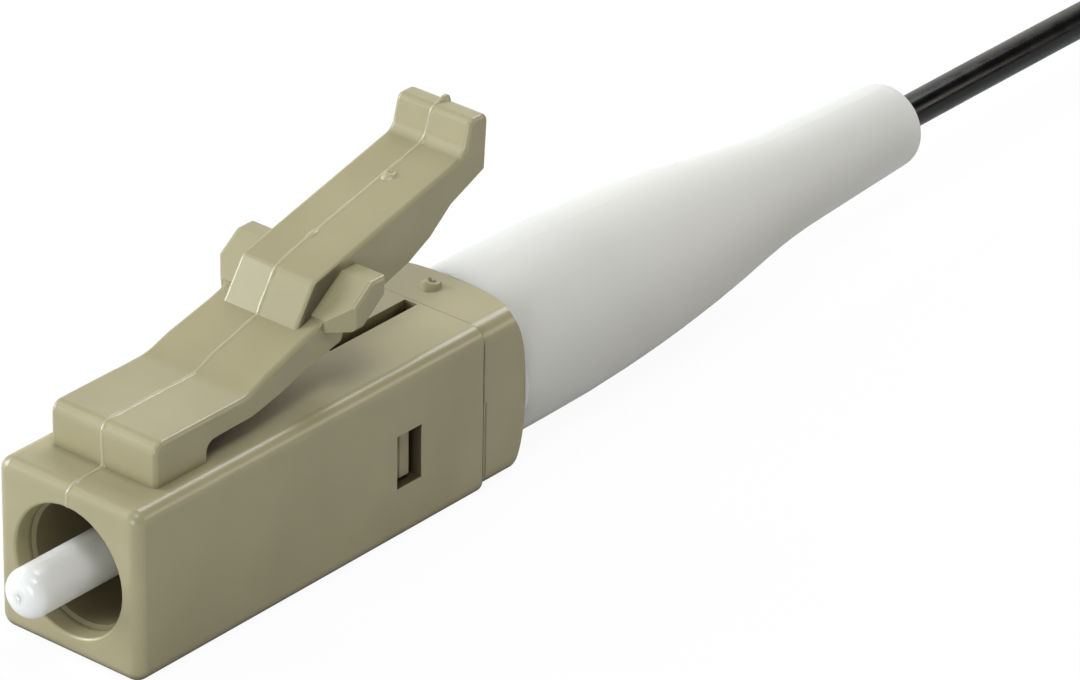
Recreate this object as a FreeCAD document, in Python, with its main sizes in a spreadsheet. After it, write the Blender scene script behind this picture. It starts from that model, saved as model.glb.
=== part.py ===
"""LC fibre connector on a 0.9 mm tight-buffered fibre, as a FreeCAD document (millimetres).

X runs along the fibre axis from the plug's front face to the boot, Z is up (the latch side), and the
origin is the point where the ferrule's axis crosses the front face.
"""
import FreeCAD, Part
import math
import os
import Sketcher

# Driving dimensions. Each becomes a cell of the sheet under its own name.
SIZES = {
    # outer housing
    "body_width": 4.46,
    "body_height": 4.52,
    "body_length": 12.2,
    "body_edge_round": 0.36,
    "body_front_round": 0.3,
    "body_rear_round": 0.1,
    "mouth_radius": 1.68,
    "mouth_depth": 0.55,
    "mouth_ramp": 0.06,
    "mouth_lip": 0.08,
    "bore_radius": 1.58,
    "seat_start": 2.5,
    "seat_wall": 0.6,
    "seat_hole_gap": 0.33,
    "hex_seat_depth": 1.5,
    "chamber_gap": 0.2,
    "socket_wall": 0.45,
    "socket_depth": 3.6,
    "window_setback": 3.2,
    "window_length": 0.9,
    "window_height": 1.44,
    "window_drop": 0.1,
    "slot_rear_wall": 0.15,
    "slot_length": 3.15,
    "slot_width": 0.4,
    "slot_depth": 0.7,
    # latch root and lever; heights are above the top of the housing
    "root_start": 1.24,
    "root_length": 1.72,
    "root_round": 0.3,
    "undercut_round": 0.3,
    "arm_gap": 0.53,
    "arm_thickness": 0.6,
    "arm_width": 3.3,
    "arm_narrowing": 0.2,
    "hinge_start": 3.75,
    "hinge_radius": 0.45,
    "hinge_gap": 0.02,
    "ramp_start": 4.45,
    "ramp_mid_start": 5.15,
    "ramp_mid_height": 1.4,
    "knee_start": 6.62,
    "knee_height": 1.8,
    "lever_width": 2.36,
    "lever_start": 7.28,
    "lever_height": 2.8,
    "tip_start": 12.6,
    "tip_foot_height": 4.11,
    "tip_lip_start": 12.84,
    "tip_height": 4.95,
    "tip_end": 13.47,
    "tip_rear_lean": 0.09,
    "tip_under_height": 3.56,
    "tip_neck_start": 12.1,
    "tip_neck_height": 3.02,
    "tip_root_round": 0.35,
    "tip_top_round": 0.2,
    "knee_round": 0.3,
    "latch_rim_round": 0.12,
    "belly_mid": 11.36,
    "belly_mid_height": 2.44,
    "belly_end": 10.6,
    "belly_end_height": 2.06,
    "belly_start": 7.75,
    "belly_height": 1.22,
    "arm_bend_round": 1.5,
    "arm_under_start": 4.6,
    "arm_under_height": 0.56,
    "arm_under_mid": 5.6,
    "arm_under_mid_height": 0.73,
    "arm_under_end": 6.45,
    "arm_under_end_height": 0.96,
    "wing_start": 7.1,
    "wing_height": 1.94,
    "wing_rise_start": 7.59,
    "wing_rise_height": 2.36,
    "wing_under_height": 1.7,
    "lug_width": 4.3,
    "lug_lead_in": 0.5,
    "lug_start": 7.12,
    "lug_end": 8.68,
    "lug_front_height": 2.02,
    "lug_top_start": 8.2,
    "lug_top_height": 2.79,
    "lug_under_height": 1.72,
    "lug_rear_under_height": 2.3,
    "lug_under_end": 7.9,
    # rear body
    "insert_gap": 0.03,
    "insert_corner": 0.15,
    "insert_lead": 0.12,
    "insert_bore_gap": 0.15,
    "insert_bore_depth": 4.4,
    "tab_side_gap": 0.12,
    "tab_front_gap": 0.04,
    "tab_ramp_length": 0.3,
    "tab_catch_gap": 0.24,
    "tab_recess": 0.22,
    "cap_length": 1.55,
    "cap_inset": 0.04,
    "cap_corner_round": 0.5,
    "cap_shoulder_length": 0.98,
    "cap_shoulder_radius": 3.12,
    "cap_rear_radius": 2.16,
    "cap_dome_radius": 1.4,
    "spigot_radius": 1.25,
    "spigot_length": 4.6,
    "barb_height": 0.18,
    "barb_length": 0.9,
    "barb_start": 0.8,
    "barb_span": 2.8,
    "spigot_bore_gap": 0.25,
    # ferrule, its flange and tube
    "ferrule_radius": 0.6245,
    "ferrule_length": 6.5,
    "ferrule_reach": 1.65,
    "ferrule_tip_round": 0.38,
    "fibre_hole_radius": 0.0635,
    "glass_radius": 0.0625,
    "glass_tail": 0.35,
    "collar_flats": 2.5,
    "collar_length": 1.44,
    "collar_gap": 0.03,
    "collar_lead": 0.2,
    "flange_tube_wall": 0.25,
    "flange_tube_length": 4.2,
    "guide_radius": 0.7,
    "guide_bore_gap": 0.1,
    "guide_start_gap": 0.15,
    "guide_tail": 1.9,
    # spring
    "spring_wire_radius": 0.14,
    "spring_tube_gap": 0.19,
    "spring_turns": 6.5,
    "spring_gap": 0.02,
    # boot
    "boot_base_radius": 2.28,
    "boot_shoulder_length": 1.75,
    "boot_bulge_length": 8.8,
    "boot_neck_radius": 1.57,
    "boot_hollow_length": 2.9,
    "boot_waist_radius": 1.29,
    "boot_length": 17.3,
    "boot_end_radius": 1.14,
    "boot_end_round": 0.4,
    "boot_socket_gap": 0.03,
    "boot_cable_gap": 0.06,
    # fibre
    "buffer_radius": 0.45,
    "buffer_glass_gap": 1.2,
    "buffer_lead_in": 0.85,
    "cord_bend": 41.2,
    "cord_landing": 52.2,
    # hank that the spare length is folded into
    "hank_side": 1.8,
    "hank_start": 57.5,
    "hank_lead_length": 3.5,
    "hank_run": 18.0,
    "hank_outer_radius": 5.41,
    "hank_band": 2.8,
    "hank_height": 4.65,
    "hank_edge": 0.4,
    "tie_width": 2.0,
    "tie_thickness": 0.12,
    "tie_gap": 0.01,
}

# Sizes that follow from the driving ones.
FOLLOWING = {
    "half_width": "=body_width / 2",
    "half_height": "=body_height / 2",
    "seat_hole_radius": "=ferrule_radius + seat_hole_gap",
    "mouth_lip_radius": "=mouth_radius + mouth_lip",
    "mouth_end": "=mouth_depth + mouth_ramp",
    "seat_end": "=seat_start + seat_wall",
    "hex_seat_end": "=seat_end + hex_seat_depth",
    "socket_start": "=body_length - socket_depth",
    "socket_half_width": "=half_width - socket_wall",
    "socket_half_height": "=half_height - socket_wall",
    "window_start": "=body_length - window_setback",
    "window_end": "=window_start + window_length",
    "slot_end": "=body_length - slot_rear_wall",
    "slot_start": "=slot_end - slot_length",
    "window_top": "=window_height / 2 - window_drop",
    "window_bottom": "=window_height / 2 + window_drop",
    "half_slot": "=slot_width / 2",
    "arm_top": "=arm_gap + arm_thickness",
    "arm_middle": "=arm_gap + arm_thickness / 2",
    "root_end": "=root_start + root_length",
    "root_sink": "=socket_wall / 2",
    "undercut_height": "=arm_gap - undercut_round",
    "undercut_end": "=root_end + undercut_round",
    "half_arm": "=arm_width / 2",
    "half_arm_rear": "=(arm_width - arm_narrowing) / 2",
    "arm_side_cut": "=arm_width",
    "arm_clear_end": "=lug_end + arm_thickness",
    "tip_rear_foot": "=tip_end - tip_rear_lean",
    "seat_radius": "=hinge_radius + hinge_gap",
    "seat_lip": "=hinge_start - sqrt(seat_radius ^ 2 - (arm_thickness / 2) ^ 2)",
    "seat_floor": "=hinge_start - seat_radius",
    "heel_lip": "=hinge_start - sqrt(hinge_radius ^ 2 - (arm_thickness / 2) ^ 2)",
    "heel_front": "=hinge_start - hinge_radius",
    "lever_sink_height": "=belly_height + (knee_height - belly_height) / 4",
    "insert_half_width": "=socket_half_width - insert_gap",
    "insert_half_height": "=socket_half_height - insert_gap",
    "insert_start": "=socket_start + insert_gap",
    "insert_length": "=body_length - insert_start",
    "insert_bore_radius": "=flange_tube_radius + insert_bore_gap",
    "insert_bore_end": "=insert_start + insert_bore_depth",
    "tab_start": "=window_start + tab_front_gap",
    "tab_flat_start": "=tab_start + tab_ramp_length",
    "tab_end": "=window_end - tab_catch_gap",
    "tab_height": "=window_height - 2 * tab_side_gap",
    "tab_face": "=half_width - tab_recess",
    "tab_root": "=insert_half_width / 2",
    "cap_end": "=body_length + cap_length",
    "cap_half_width": "=half_width - cap_inset",
    "cap_half_height": "=half_height - cap_inset",
    "cap_shoulder": "=body_length + cap_shoulder_length",
    "cap_clear_radius": "=body_width",
    "cap_clear_end": "=cap_end + cap_length",
    "spigot_end": "=cap_end + spigot_length",
    "spigot_bore_radius": "=buffer_radius + spigot_bore_gap",
    "barb_foot": "=cap_end + barb_start",
    "barb_tip": "=barb_foot + barb_length",
    "barb_root": "=spigot_radius / 2 + spigot_bore_radius / 2",
    "barb_radius": "=spigot_radius + barb_height",
    "collar_start": "=seat_end + collar_gap",
    "collar_end": "=collar_start + collar_length",
    "collar_half": "=collar_flats / 2",
    "collar_corner": "=collar_flats / sqrt(3)",
    "collar_half_corner": "=collar_flats / sqrt(3) / 2",
    "hex_half": "=collar_half + collar_gap",
    "hex_corner": "=2 * hex_half / sqrt(3)",
    "hex_half_corner": "=hex_half / sqrt(3)",
    "flange_tube_radius": "=guide_radius + flange_tube_wall",
    "flange_end": "=collar_end + flange_tube_length",
    "flange_step": "=ferrule_end + guide_start_gap / 2",
    "guide_start": "=ferrule_end + guide_start_gap",
    "guide_length": "=guide_end - guide_start",
    "guide_bore_radius": "=buffer_radius + guide_bore_gap",
    "ferrule_end": "=ferrule_length - ferrule_reach",
    "ferrule_tip_flat": "=ferrule_radius - ferrule_tip_round",
    "ferrule_tip_shoulder": "=ferrule_tip_round - ferrule_reach",
    "glass_end": "=ferrule_end + glass_tail",
    "glass_length": "=glass_end + ferrule_reach",
    "guide_end": "=flange_end + guide_tail",
    "collar_lead_radius": "=collar_half - collar_lead",
    "collar_lead_end": "=collar_start + collar_lead",
    "collar_clear_radius": "=collar_corner + collar_lead",
    "spring_mean_radius": "=flange_tube_radius + spring_wire_radius + spring_tube_gap",
    "chamber_radius": "=spring_mean_radius + spring_wire_radius + chamber_gap",
    "spring_start": "=collar_end + spring_gap",
    "spring_end": "=insert_start - spring_gap",
    "spring_height": "=spring_end - spring_start - 2 * spring_wire_radius",
    "spring_pitch": "=spring_height / spring_turns",
    "spring_centre": "=spring_start + spring_wire_radius",
    "wire_reach": "=spring_wire_radius * cos(22.5)",
    "wire_flat": "=spring_wire_radius * sin(22.5)",
    "wire_front": "=spring_centre - wire_reach",
    "wire_front_flat": "=spring_centre - wire_flat",
    "wire_rear_flat": "=spring_centre + wire_flat",
    "wire_rear": "=spring_centre + wire_reach",
    "wire_inner": "=spring_mean_radius - wire_reach",
    "wire_inner_flat": "=spring_mean_radius - wire_flat",
    "wire_outer_flat": "=spring_mean_radius + wire_flat",
    "wire_outer": "=spring_mean_radius + wire_reach",
    "boot_shoulder_end": "=cap_end + boot_shoulder_length",
    "boot_neck_end": "=boot_shoulder_end + boot_bulge_length",
    "boot_bulge_drop": "=boot_base_radius - boot_neck_radius",
    "boot_bulge_radius": "=(boot_bulge_length ^ 2 + boot_bulge_drop ^ 2) / (2 * boot_bulge_drop)",
    "boot_hollow_drop": "=boot_neck_radius - boot_waist_radius",
    "boot_hollow_chord": "=sqrt(boot_hollow_length ^ 2 + boot_hollow_drop ^ 2)",
    "boot_neck_angle": "=2 * atan(boot_bulge_drop / boot_bulge_length)",
    "boot_chord_angle": "=atan(boot_hollow_drop / boot_hollow_length)",
    "boot_hollow_radius": "=boot_hollow_chord / (2 * sin(boot_neck_angle - boot_chord_angle))",
    "boot_waist_end": "=boot_neck_end + boot_hollow_length",
    "boot_end": "=cap_end + boot_length",
    "boot_round_start": "=boot_end - boot_end_round",
    "boot_end_flat": "=boot_end_radius - boot_end_round",
    "boot_socket_radius": "=barb_radius + boot_socket_gap",
    "boot_socket_end": "=spigot_end + boot_socket_gap",
    "boot_bore_radius": "=buffer_radius + boot_cable_gap",
    "buffer_start": "=glass_end + buffer_glass_gap",
    "buffer_joint": "=boot_end - buffer_lead_in",
    "buffer_inner_length": "=buffer_joint - buffer_start",
    "buffer_on_floor": "=half_height - buffer_radius",
    "hank_half_run": "=hank_run / 2",
    "hank_inner_radius": "=hank_outer_radius - hank_band",
    "hank_centre": "=hank_start + hank_lead_length + hank_half_run",
    "hank_entry": "=hank_outer_radius - buffer_radius",
    "hank_lead_reach": "=hank_half_run + hank_lead_length",
    "hank_base": "=tie_thickness + tie_gap",
    "hank_top": "=hank_base + hank_height",
    "half_tie": "=tie_width / 2",
    "tie_side": "=hank_outer_radius + tie_gap",
    "tie_top": "=hank_top + tie_gap",
    "tie_skin_side": "=tie_side + tie_thickness",
    "tie_skin_top": "=tie_top + tie_thickness",
    "tie_corner_side": "=tie_side - hank_edge",
    "tie_low": "=tie_thickness + hank_edge",
    "tie_high": "=tie_top - hank_edge",
    "tie_skin_edge": "=hank_edge + tie_thickness",
}

NODES = []


def fill_sheet(document):
    """Put every size in a cell of its own, named by an alias."""
    sheet = document.addObject("Spreadsheet::Sheet", "sizes")
    row = 1
    for table in (SIZES, FOLLOWING):
        for alias, content in table.items():
            sheet.set(f"A{row}", alias)
            sheet.set(f"B{row}", str(content))
            sheet.setAlias(f"B{row}", alias)
            row += 1
    document.recompute()
    return sheet


class Model:
    """The document, its sheet and the short forms that the pieces are made with."""

    def __init__(self):
        self.document = FreeCAD.newDocument("lc_fibre_connector")
        self.sheet = fill_sheet(self.document)

    def size(self, name):
        """The value of a cell, or minus it where the name starts with a minus sign."""
        if name == "0":
            return 0.0
        if name.startswith("-"):
            return -float(self.sheet.get(name[1:]))
        return float(self.sheet.get(name))

    def cell(self, name):
        """The expression that reads a cell."""
        if name.startswith("-"):
            return f"-sizes.{name[1:]}"
        return f"sizes.{name}"

    def body(self, label):
        """A new PartDesign body that will be written as parts/label.step."""
        body = self.document.addObject("PartDesign::Body", label)
        body.Label = label
        NODES.append(body)
        return body

    def sketch(self, body, name, plane, offset=None, rise=None):
        """A sketch on one of the body's own planes, moved by cells along its normal and upward."""
        sketch = body.newObject("Sketcher::SketchObject", name)
        role = [f for f in body.Origin.OriginFeatures if f.Role == plane][0]
        sketch.AttachmentSupport = [(role, "")]
        sketch.MapMode = "FlatFace"
        if offset:
            sketch.setExpression("AttachmentOffset.Base.z", self.cell(offset))
        if rise:
            sketch.setExpression("AttachmentOffset.Base.y", self.cell(rise))
        return sketch

    def hold(self, sketch, geometry, end, axis, name):
        """Fix one coordinate of a sketch point: on the axis, or at a cell's distance."""
        if name == "0":
            line = -2 if axis == "X" else -1
            sketch.addConstraint(Sketcher.Constraint("PointOnObject", geometry, end, line))
            return
        value = self.size(name)
        kind = "Distance" + axis
        if value < 0:
            rule = Sketcher.Constraint(kind, geometry, end, -1, 1, -value)
            text = name[1:] if name.startswith("-") else "-" + name
        else:
            rule = Sketcher.Constraint(kind, -1, 1, geometry, end, value)
            text = name
        index = sketch.addConstraint(rule)
        sketch.setExpression(f"Constraints[{index}]", self.cell(text))

    def outline(self, sketch, corners):
        """A closed outline through corners given as pairs of cell names.

        A third entry makes the side that leaves the corner an arc: (radius cell, side), where side
        is 1 for an arc that bulges to the left of its direction and -1 for one to the right.
        """
        first = sketch.GeometryCount
        count = len(corners)
        points = [FreeCAD.Vector(self.size(c[0]), self.size(c[1]), 0) for c in corners]
        ends = []
        for i, corner in enumerate(corners):
            start = points[i]
            end = points[(i + 1) % count]
            if len(corner) == 2:
                sketch.addGeometry(Part.LineSegment(start, end), False)
                ends.append((1, 2))
                continue
            radius_name, side = corner[2]
            radius = self.size(radius_name)
            chord = end - start
            rise = radius - math.sqrt(max(radius * radius - chord.Length * chord.Length / 4, 0.0))
            left = FreeCAD.Vector(-chord.y, chord.x, 0).normalize()
            middle = start + chord * 0.5 + left * (rise * side)
            sketch.addGeometry(Part.Arc(start, middle, end), False)
            # an arc is kept anticlockwise, so one that bulges left runs from its end to its start
            ends.append((2, 1) if side == 1 else (1, 2))
        for i in range(count):
            after = (i + 1) % count
            joint = (first + i, ends[i][1], first + after, ends[after][0])
            sketch.addConstraint(Sketcher.Constraint("Coincident", *joint))
        for i, corner in enumerate(corners):
            self.hold(sketch, first + i, ends[i][0], "X", corner[0])
            self.hold(sketch, first + i, ends[i][0], "Y", corner[1])
            if len(corner) == 3:
                radius_name = corner[2][0]
                rule = Sketcher.Constraint("Radius", first + i, self.size(radius_name))
                index = sketch.addConstraint(rule)
                sketch.setExpression(f"Constraints[{index}]", self.cell(radius_name))

    def circle(self, sketch, radius, centre=("0", "0")):
        """A circle of a cell's radius."""
        place = FreeCAD.Vector(self.size(centre[0]), self.size(centre[1]), 0)
        index = sketch.addGeometry(Part.Circle(place, FreeCAD.Vector(0, 0, 1), self.size(radius)), False)
        self.hold(sketch, index, 3, "X", centre[0])
        self.hold(sketch, index, 3, "Y", centre[1])
        rule = sketch.addConstraint(Sketcher.Constraint("Radius", index, self.size(radius)))
        sketch.setExpression(f"Constraints[{rule}]", self.cell(radius))

    def rectangle(self, sketch, left, right, low, high):
        """A rectangle between four cells."""
        self.outline(sketch, [(left, low), (right, low), (right, high), (left, high)])

    def rounded_rectangle(self, sketch, across, up, radius):
        """A rectangle with round corners: four cells across and four up, where the arcs end."""
        left, after_left, before_right, right = across
        low, above_low, below_high, high = up
        self.outline(sketch, [
            (after_left, low),
            (before_right, low, (radius, -1)),
            (right, above_low),
            (right, below_high, (radius, -1)),
            (before_right, high),
            (after_left, high, (radius, -1)),
            (left, below_high),
            (left, above_low, (radius, -1)),
        ])

    def stadium(self, sketch, half_run, radius):
        """Two straight runs along X joined by half circles, about the origin."""
        reach = self.size(half_run)
        bend = self.size(radius)
        up = FreeCAD.Vector(0, 0, 1)
        first = sketch.GeometryCount
        far = Part.Circle(FreeCAD.Vector(reach, 0, 0), up, bend)
        near = Part.Circle(FreeCAD.Vector(-reach, 0, 0), up, bend)
        sketch.addGeometry(Part.ArcOfCircle(far, -math.pi / 2, math.pi / 2), False)
        left_run = Part.LineSegment(FreeCAD.Vector(reach, bend, 0), FreeCAD.Vector(-reach, bend, 0))
        sketch.addGeometry(left_run, False)
        sketch.addGeometry(Part.ArcOfCircle(near, math.pi / 2, 3 * math.pi / 2), False)
        right_run = Part.LineSegment(FreeCAD.Vector(-reach, -bend, 0), FreeCAD.Vector(reach, -bend, 0))
        sketch.addGeometry(right_run, False)
        for i in range(4):
            joint = (first + i, 2, first + (i + 1) % 4, 1)
            sketch.addConstraint(Sketcher.Constraint("Tangent", *joint))
        for arc, place in ((first, half_run), (first + 2, "-" + half_run)):
            self.hold(sketch, arc, 3, "X", place)
            self.hold(sketch, arc, 3, "Y", "0")
            index = sketch.addConstraint(Sketcher.Constraint("Radius", arc, bend))
            sketch.setExpression(f"Constraints[{index}]", self.cell(radius))

    def hexagon(self, sketch, corner, half_corner, half_flats):
        """A hexagon with a corner on each side and its flats above and below."""
        upper = [(corner, "0"), (half_corner, half_flats), ("-" + half_corner, half_flats)]
        lower = [("-" + corner, "0"), ("-" + half_corner, "-" + half_flats), (half_corner, "-" + half_flats)]
        self.outline(sketch, upper + lower)

    def feature(self, body, kind, name, sketch, **settings):
        """A PartDesign feature; a setting that is a string starting with = is an expression."""
        feature = body.newObject("PartDesign::" + kind, name)
        feature.Profile = sketch
        sketch.Visibility = False
        for key, value in settings.items():
            if isinstance(value, str) and value.startswith("="):
                feature.setExpression(key, value[1:])
            else:
                setattr(feature, key, value)
        self.document.recompute()
        return feature

    def turned(self, body, kind, name, corners):
        """A Revolution or Groove about the X axis of an outline drawn in X and radius."""
        sketch = self.sketch(body, name + "_profile", "XZ_Plane")
        self.outline(sketch, corners)
        return self.feature(body, kind, name, sketch, ReferenceAxis=(sketch, ["H_Axis"]), Angle=360.0)

    def tip_edges(self, body, name, cell, wanted, kind="Fillet"):
        """A Fillet or Chamfer of a cell's size on the edges of the body's tip that wanted picks."""
        base = body.Tip
        edges = [f"Edge{i + 1}" for i, edge in enumerate(base.Shape.Edges) if wanted(edge)]
        if not edges:
            raise RuntimeError(f"{name}: no edge found")
        feature = body.newObject("PartDesign::" + kind, name)
        feature.Base = (base, edges)
        feature.setExpression("Radius" if kind == "Fillet" else "Size", self.cell(cell))
        self.document.recompute()
        return feature


def at(value, place):
    """Whether a coordinate lies at a place."""
    return abs(value - place) < 1e-4


def runs_along(edge, axis):
    """Whether an edge is straight and parallel to an axis."""
    box = edge.BoundBox
    spans = {"X": box.XLength, "Y": box.YLength, "Z": box.ZLength}
    return all(span < 1e-4 for name, span in spans.items() if name != axis)


def front_housing(model):
    """Outer shell with the ferrule bore, the spring chamber, the rear socket and the latch root."""
    body = model.body("front_housing")
    size = model.size
    half_width = size("half_width")
    half_height = size("half_height")
    length = size("body_length")

    sketch = model.sketch(body, "shell_section", "YZ_Plane")
    model.rectangle(sketch, "-half_width", "half_width", "-half_height", "half_height")
    model.feature(body, "Pad", "shell", sketch, Length="=sizes.body_length")

    def long_edge(edge):
        return runs_along(edge, "X")

    def front_edge(edge):
        return at(edge.BoundBox.XMax, 0)

    def rear_edge(edge):
        return at(edge.BoundBox.XMin, length)

    model.tip_edges(body, "long_edges", "body_edge_round", long_edge)
    model.tip_edges(body, "front_edges", "body_front_round", front_edge)
    model.tip_edges(body, "rear_edges", "body_rear_round", rear_edge)

    # root block of the latch, hollowed behind for the hinge of the arm
    sketch = model.sketch(body, "root_side", "XZ_Plane", rise="half_height")
    model.outline(sketch, [
        ("root_start", "-root_sink"),
        ("root_start", "arm_top"),
        ("seat_lip", "arm_top", ("seat_radius", -1)),
        ("seat_lip", "arm_gap"),
        ("undercut_end", "arm_gap", ("undercut_round", -1)),
        ("root_end", "undercut_height"),
        ("root_end", "-root_sink"),
    ])
    model.feature(body, "Pad", "latch_root", sketch, Length="=sizes.arm_width", SideType="Symmetric")
    root_top = half_height + size("arm_top")
    root_front = size("root_start")

    def root_nose(edge):
        box = edge.BoundBox
        return runs_along(edge, "Y") and at(box.XMax, root_front) and at(box.ZMax, root_top)

    def root_side_top(edge):
        box = edge.BoundBox
        return runs_along(edge, "X") and at(box.ZMax, root_top)

    model.tip_edges(body, "root_nose_round", "root_round", root_nose)
    model.tip_edges(body, "root_side_round", "latch_rim_round", root_side_top)

    # bore for the ferrule and its sleeve, wall that the ferrule's collar rests on, spring chamber
    model.turned(body, "Groove", "bore", [
        ("0", "0"),
        ("0", "mouth_lip_radius", ("mouth_lip", -1)),
        ("mouth_lip", "mouth_radius"),
        ("mouth_depth", "mouth_radius"),
        ("mouth_end", "bore_radius"),
        ("seat_start", "bore_radius"),
        ("seat_start", "seat_hole_radius"),
        ("hex_seat_end", "seat_hole_radius"),
        ("hex_seat_end", "chamber_radius"),
        ("socket_start", "chamber_radius"),
        ("socket_start", "0"),
    ])
    sketch = model.sketch(body, "collar_seat_section", "YZ_Plane", offset="seat_end")
    model.hexagon(sketch, "hex_corner", "hex_half_corner", "hex_half")
    model.feature(body, "Pocket", "collar_seat", sketch, Length="=sizes.hex_seat_depth", Reversed=True)

    # socket for the rear body, a window for each of its tabs and the slot in the roof
    sketch = model.sketch(body, "socket_section", "YZ_Plane", offset="body_length")
    model.rectangle(sketch, "-socket_half_width", "socket_half_width",
                    "-socket_half_height", "socket_half_height")
    model.feature(body, "Pocket", "socket", sketch, Length="=sizes.socket_depth")
    sketch = model.sketch(body, "window_side", "XZ_Plane")
    model.rectangle(sketch, "window_start", "window_end", "-window_bottom", "window_top")
    model.feature(body, "Pocket", "windows", sketch, Length="=2 * sizes.body_width", SideType="Symmetric")
    sketch = model.sketch(body, "slot_plan", "XY_Plane", offset="half_height")
    model.rectangle(sketch, "slot_start", "slot_end", "-half_slot", "half_slot")
    model.feature(body, "Pocket", "roof_slot", sketch, Length="=sizes.slot_depth")
    return body


def latch_lever(model):
    """Moulded lever: a sprung arm, a knee, a sloping thumb lever and the two catching lugs."""
    body = model.body("latch_lever")
    size = model.size
    half_height = size("half_height")

    sketch = model.sketch(body, "arm_side", "XZ_Plane", rise="half_height")
    model.outline(sketch, [
        ("heel_lip", "arm_gap", ("hinge_radius", 1)),
        ("heel_lip", "arm_top"),
        ("ramp_start", "arm_top"),
        ("ramp_mid_start", "ramp_mid_height"),
        ("knee_start", "knee_height"),
        ("wing_start", "wing_height"),
        ("wing_rise_start", "wing_rise_height"),
        ("lug_top_start", "lug_top_height"),
        ("lug_end", "lug_top_height"),
        ("lug_end", "lug_rear_under_height"),
        ("lug_under_end", "wing_under_height"),
        ("belly_start", "belly_height"),
        ("arm_under_end", "arm_under_end_height"),
        ("arm_under_mid", "arm_under_mid_height"),
        ("arm_under_start", "arm_under_height"),
    ])
    model.feature(body, "Pad", "arm", sketch, Length="=sizes.arm_width", SideType="Symmetric")

    def across_at(x_name, z_name):
        place_x = size(x_name)
        place_z = half_height + size(z_name)

        def wanted(edge):
            box = edge.BoundBox
            return runs_along(edge, "Y") and at(box.XMax, place_x) and at(box.ZMax, place_z)
        return wanted

    for name, x_name, z_name in (
        ("arm_bend", "ramp_start", "arm_top"),
        ("arm_mid_bend", "ramp_mid_start", "ramp_mid_height"),
        ("under_bend", "arm_under_start", "arm_under_height"),
    ):
        model.tip_edges(body, name, "arm_bend_round", across_at(x_name, z_name))

    # the arm narrows from the hinge to the knee
    sketch = model.sketch(body, "arm_plan", "XY_Plane")
    for sign in ("", "-"):
        model.outline(sketch, [
            ("ramp_start", sign + "half_arm"),
            ("knee_start", sign + "half_arm_rear"),
            ("arm_clear_end", sign + "half_arm_rear"),
            ("arm_clear_end", sign + "arm_side_cut"),
            ("ramp_start", sign + "arm_side_cut"),
        ])
    model.feature(body, "Pocket", "arm_taper", sketch, Length="=4 * sizes.body_height", SideType="Symmetric")

    def arm_rim(edge):
        box = edge.BoundBox
        outer = max(box.YMax, -box.YMin) > size("half_arm_rear") - 1e-4
        along = box.XLength > 0.05 and box.XMax < size("knee_start") + 1e-4
        return outer and along and box.ZMin > half_height + size("arm_top") - 1e-4

    model.tip_edges(body, "arm_rims", "latch_rim_round", arm_rim)

    # thumb lever, from the knee to the raised tip
    sketch = model.sketch(body, "lever_side", "XZ_Plane", rise="half_height")
    model.outline(sketch, [
        ("knee_start", "knee_height"),
        ("lever_start", "lever_height"),
        ("tip_start", "tip_foot_height"),
        ("tip_lip_start", "tip_height"),
        ("tip_end", "tip_height"),
        ("tip_rear_foot", "tip_under_height"),
        ("tip_neck_start", "tip_neck_height"),
        ("belly_mid", "belly_mid_height"),
        ("belly_end", "belly_end_height"),
        ("belly_start", "belly_height"),
        ("arm_under_end", "arm_under_end_height"),
    ])
    model.feature(body, "Pad", "lever", sketch, Length="=sizes.lever_width", SideType="Symmetric")

    # lugs that catch in the adapter
    sketch = model.sketch(body, "lug_side", "XZ_Plane", rise="half_height")
    model.outline(sketch, [
        ("lug_start", "lug_under_height"),
        ("lug_start", "lug_front_height"),
        ("lug_top_start", "lug_top_height"),
        ("lug_end", "lug_top_height"),
        ("lug_end", "lug_rear_under_height"),
        ("lug_under_end", "lug_under_height"),
    ])
    model.feature(body, "Pad", "lugs", sketch, Length="=sizes.lug_width", SideType="Symmetric")

    def tip_top(edge):
        box = edge.BoundBox
        top = half_height + size("tip_height")
        return runs_along(edge, "Y") and at(box.ZMax, top)

    def lug_corner(edge):
        box = edge.BoundBox
        outer = at(max(box.YMax, -box.YMin), size("lug_width") / 2)
        return runs_along(edge, "Z") and outer and at(box.XMax, size("lug_start"))

    model.tip_edges(body, "tip_root_fillet", "tip_root_round", across_at("tip_start", "tip_foot_height"))
    model.tip_edges(body, "tip_top_fillet", "tip_top_round", tip_top)
    model.tip_edges(body, "knee_fillet", "knee_round", across_at("lever_start", "lever_height"))
    model.tip_edges(body, "lug_bevel", "lug_lead_in", lug_corner, kind="Chamfer")

    def lever_rim(edge):
        box = edge.BoundBox
        outer = at(max(box.YMax, -box.YMin), size("lever_width") / 2)
        long = box.XLength > 2 and box.YLength < 1e-4
        return outer and long and box.ZMin > half_height + size("knee_height")

    def lug_rim(edge):
        box = edge.BoundBox
        outer = at(max(box.YMax, -box.YMin), size("lug_width") / 2)
        return outer and box.YLength < 1e-4

    model.tip_edges(body, "lever_rims", "latch_rim_round", lever_rim)
    model.tip_edges(body, "lug_rims", "latch_rim_round", lug_rim)
    return body


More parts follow.
